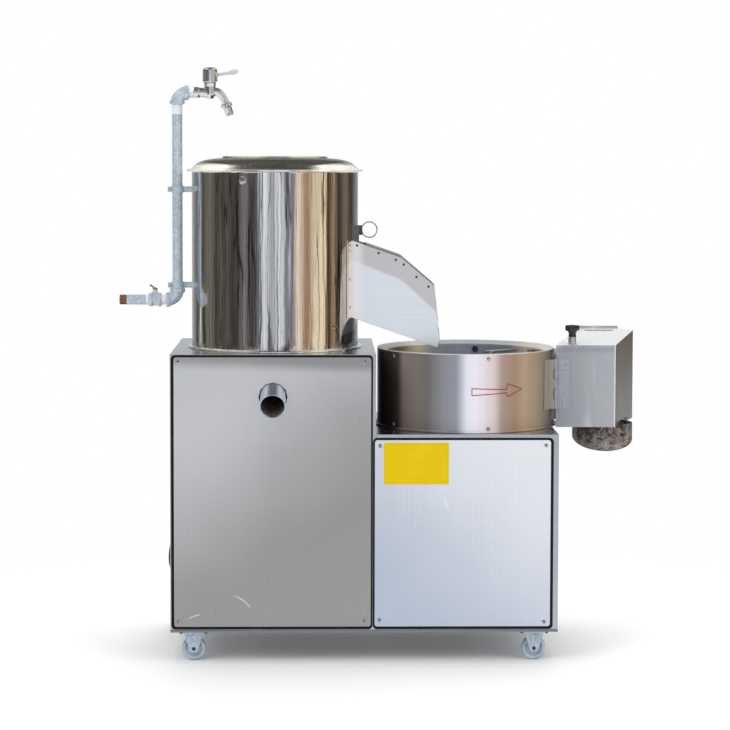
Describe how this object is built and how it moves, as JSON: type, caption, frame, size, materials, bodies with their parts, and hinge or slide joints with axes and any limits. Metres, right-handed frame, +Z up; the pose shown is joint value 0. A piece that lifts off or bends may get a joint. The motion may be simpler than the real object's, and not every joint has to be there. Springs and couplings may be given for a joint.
{
  "type": "electric potato peeler",
  "caption": "Catering potato peeler on casters: polished peeling drum with lid, tap and gate chute, feeding a lower slicing drum with a hinged outlet hood and spout.",
  "frame": {"origin": "on the floor under the middle of the machine's bounding box, the power lead, its coil and its plug left out", "axes": "+Z up, +X to the slicing drum's side, -Y to the front panels and the operator"},
  "size_m": [1.0976, 0.6452, 1.2183],
  "materials": {
    "brushed_steel": "brushed stainless sheet",
    "mirror_steel": "mirror polished stainless",
    "satin_steel": "bright rolled stainless",
    "mottled_steel": "heat stained, mottled",
    "knife_steel": "ground edge",
    "galvanised": "zinc plated",
    "chrome": "polished chrome",
    "brass": "cast, dull",
    "black_rubber": "matte",
    "grey_rubber": "matte",
    "black_plastic": "moulded",
    "grey_plastic": "moulded",
    "green_plastic": "moulded",
    "red_plastic": "moulded",
    "abrasive": "coated with coarse abrasive grit",
    "painted_cast": "blue-grey enamel"
  },
  "bodies": {
    "machine": {"base_frame": "brushed_steel", "left_cabinet": "brushed_steel", "right_cabinet": "brushed_steel", "left_front_panel": "brushed_steel", "right_front_panel": "brushed_steel", "left_rear_panel": "brushed_steel", "right_rear_panel": "brushed_steel", "left_gasket": "black_rubber", "right_gasket": "black_rubber", "peeler_drum": "mirror_steel", "drum_liner": "abrasive", "peeler_bearing_housing": "painted_cast", "peeler_belt": "black_rubber", "peeler_motor": "painted_cast", "drain_pipe": "brushed_steel", "chute_trough": "satin_steel", "chute_cover": "satin_steel", "slicer_drum": "brushed_steel", "slicer_bearing_housing": "painted_cast", "slicer_belt": "black_rubber", "slicer_motor": "painted_cast", "slicing_blade": "knife_steel", "hinge_fixed_leaf": "satin_steel", "riser_pipe": "galvanised", "upper_elbow": "galvanised", "lower_elbow": "galvanised", "inlet_pipe": "galvanised", "stop_cock": "galvanised", "tap_body": "chrome", "upper_pipe_clamp": "galvanised", "lower_pipe_clamp": "galvanised", "front_left_caster_bracket": "galvanised", "front_right_caster_bracket": "galvanised", "rear_left_caster_bracket": "galvanised", "rear_right_caster_bracket": "galvanised", "switch_box": "grey_plastic", "cable_gland": "black_rubber", "power_lead": "black_rubber", "lead_coil": "black_rubber", "plug": "black_rubber"},
    "lid": {"splash_lid": "mirror_steel"},
    "gate": {"discharge_gate": "satin_steel"},
    "peeling_rotor": {"peeling_disc": "abrasive", "peeler_spindle": "galvanised"},
    "peeler_motor_shaft": {"peeler_motor_pulley": "galvanised"},
    "slicing_rotor": {"slicer_rotor": "satin_steel", "slicer_spindle": "galvanised"},
    "slicer_motor_shaft": {"slicer_motor_pulley": "galvanised"},
    "hood": {"discharge_hood": "satin_steel", "discharge_spout": "mottled_steel", "hinge_moving_leaf": "satin_steel"},
    "knob": {"clamp_knob": "black_plastic"},
    "tap_handle": {"tap_lever": "chrome"},
    "cock_handle": {"cock_lever": "brass"},
    "front_left_wheel": {"front_left_wheel": "grey_rubber"},
    "front_right_wheel": {"front_right_wheel": "grey_rubber"},
    "rear_left_wheel": {"rear_left_wheel": "grey_rubber"},
    "rear_right_wheel": {"rear_right_wheel": "grey_rubber"},
    "start_push": {"start_button": "green_plastic"},
    "stop_push": {"stop_button": "red_plastic"}
  },
  "joints": [
    {"name": "lid_lift", "type": "slide", "parent": "machine", "child": "lid", "axis": [0, 0, 1], "range_m": [0, 0.06]},
    {"name": "gate_slide", "type": "slide", "parent": "machine", "child": "gate", "axis": [0, 0, 1], "range_m": [0, 0.095]},
    {"name": "disc_spin", "type": "hinge", "parent": "machine", "child": "peeling_rotor", "pos_m": [-0.2248, 0.02132, 0.633], "axis": [0, 0, 1], "continuous": true},
    {"name": "peeler_motor_spin", "type": "hinge", "parent": "machine", "child": "peeler_motor_shaft", "pos_m": [-0.33879, 0.11133, 0.36], "axis": [0, 0, 1], "continuous": true},
    {"name": "rotor_spin", "type": "hinge", "parent": "machine", "child": "slicing_rotor", "pos_m": [0.1788, 0.02132, 0.47], "axis": [0, 0, 1], "continuous": true},
    {"name": "slicer_motor_spin", "type": "hinge", "parent": "machine", "child": "slicer_motor_shaft", "pos_m": [0.26622, 0.11133, 0.32], "axis": [0, 0, 1], "continuous": true},
    {"name": "hood_swing", "type": "hinge", "parent": "machine", "child": "hood", "pos_m": [0.3628, -0.05318, 0.56], "axis": [0, 0, -1], "range_deg": [0, 90]},
    {"name": "knob_turn", "type": "hinge", "parent": "hood", "child": "knob", "pos_m": [0.3988, -0.03868, 0.67], "axis": [0, 0, 1], "continuous": true},
    {"name": "tap_turn", "type": "hinge", "parent": "machine", "child": "tap_handle", "pos_m": [-0.3593, -0.01868, 1.202], "axis": [0, 0, 1], "range_deg": [0, 90]},
    {"name": "cock_turn", "type": "hinge", "parent": "machine", "child": "cock_handle", "pos_m": [-0.4748, -0.01868, 0.756], "axis": [0, 0, 1], "range_deg": [0, 90]},
    {"name": "front_left_wheel_roll", "type": "hinge", "parent": "machine", "child": "front_left_wheel", "pos_m": [-0.3878, -0.14468, 0.025], "axis": [0, 1, 0], "continuous": true},
    {"name": "front_right_wheel_roll", "type": "hinge", "parent": "machine", "child": "front_right_wheel", "pos_m": [0.3108, -0.14468, 0.025], "axis": [0, 1, 0], "continuous": true},
    {"name": "rear_left_wheel_roll", "type": "hinge", "parent": "machine", "child": "rear_left_wheel", "pos_m": [-0.3878, 0.18732, 0.025], "axis": [0, 1, 0], "continuous": true},
    {"name": "rear_right_wheel_roll", "type": "hinge", "parent": "machine", "child": "rear_right_wheel", "pos_m": [0.3108, 0.18732, 0.025], "axis": [0, 1, 0], "continuous": true},
    {"name": "start_press", "type": "slide", "parent": "machine", "child": "start_push", "axis": [1, 0, 0], "range_m": [0, 0.003], "stiffness_N_per_m": 400},
    {"name": "stop_press", "type": "slide", "parent": "machine", "child": "stop_push", "axis": [1, 0, 0], "range_m": [0, 0.003], "stiffness_N_per_m": 400}
  ],
  "couplings": [
    {"joint": "peeler_motor_spin", "follows": "disc_spin", "ratio": 2.0625},
    {"joint": "slicer_motor_spin", "follows": "rotor_spin", "ratio": 2.0625}
  ]
}
